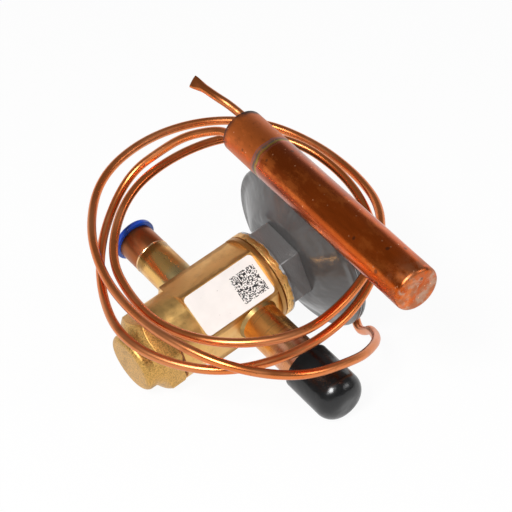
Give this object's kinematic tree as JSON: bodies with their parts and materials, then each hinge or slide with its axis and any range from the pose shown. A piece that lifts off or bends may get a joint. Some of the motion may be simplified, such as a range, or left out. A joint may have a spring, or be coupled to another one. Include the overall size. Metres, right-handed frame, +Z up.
{
  "type": "expansion valve",
  "caption": "Brass expansion valve with a grey power element, coiled copper capillary and sensing bulb, capped and plugged for storage.",
  "frame": {"origin": "middle of the footprint, on the bench the valve rests on", "axes": "+Z up from the bench; +X from the seal cap's end towards the power element's end, -Y the side the outlet points to"},
  "size_m": [0.0908, 0.0957, 0.0682],
  "materials": {
    "brass_body": "satin",
    "forged_brass": "satin",
    "machined_brass": "satin",
    "nut_brass": "satin",
    "grey_enamel": "gloss",
    "copper_tube": "satin",
    "bulb_copper": "satin",
    "capillary_copper": "gloss",
    "braze": "satin",
    "copper_washer": "satin",
    "steel": "satin",
    "hard_steel": "satin",
    "spring_steel": "satin",
    "diaphragm_steel": "gloss",
    "packing": "matte",
    "blue_plastic": "gloss",
    "black_vinyl": "gloss",
    "label_paper": "matte"
  },
  "bodies": {
    "valve": {"valve_body": "brass_body", "seat_ring": "hard_steel", "rod_guide": "machined_brass", "label": "label_paper", "inlet_stub": "brass_body", "inlet_tube": "copper_tube", "inlet_braze": "braze", "outlet_tube": "copper_tube", "outlet_braze": "braze", "seal_cap_gasket": "copper_washer", "packing_gland": "machined_brass", "stem_packing": "packing", "body_gasket": "copper_washer", "element_nut": "nut_brass", "lower_cup": "grey_enamel", "diaphragm": "diaphragm_steel", "upper_cover": "grey_enamel", "capillary_ferrule": "grey_enamel", "capillary_tube": "capillary_copper", "bulb_shell": "bulb_copper", "bulb_end_plug": "braze", "charge_tube": "copper_tube", "superheat_spring": "spring_steel"},
    "pin_group": {"pin_carrier": "steel", "valve_pin": "hard_steel", "push_rod_1": "steel", "push_rod_2": "steel", "push_rod_3": "steel", "buffer_plate": "steel"},
    "stem": {"adjusting_stem": "steel"},
    "seat_nut": {"spring_seat": "machined_brass"},
    "cap": {"seal_cap": "forged_brass"},
    "dust_cap": {"outlet_cap": "black_vinyl"},
    "plug": {"inlet_plug": "blue_plastic"}
  },
  "joints": [
    {"name": "pin_lift", "type": "slide", "parent": "valve", "child": "pin_group", "axis": [-0.7758, -0.578, -0.253], "range_m": [0, 0.0008], "stiffness_N_per_m": 3000, "springref_m": -0.001, "deforming": ["superheat_spring"]},
    {"name": "stem_turn", "type": "hinge", "parent": "valve", "child": "stem", "pos_m": [-0.02866, -0.00947, 0.0122], "axis": [0.7758, 0.578, 0.253], "range_deg": [-720, 720]},
    {"name": "seat_travel", "type": "slide", "parent": "valve", "child": "seat_nut", "axis": [0.7758, 0.578, 0.253], "range_m": [-0.001, 0.001], "deforming": ["superheat_spring"]},
    {"name": "seal_cap_pull", "type": "slide", "parent": "valve", "child": "cap", "axis": [-0.7758, -0.578, -0.253], "range_m": [0, 0.006]},
    {"name": "outlet_cap_pull", "type": "slide", "parent": "valve", "child": "dust_cap", "axis": [0.6302, -0.7291, -0.2668], "range_m": [0, 0.016]},
    {"name": "inlet_plug_pull", "type": "slide", "parent": "valve", "child": "plug", "axis": [-0.6302, 0.7291, 0.2668], "range_m": [0, 0.006]}
  ],
  "couplings": [
    {"joint": "stem_turn", "follows": "seat_travel", "rad_per_m": 12566}
  ]
}
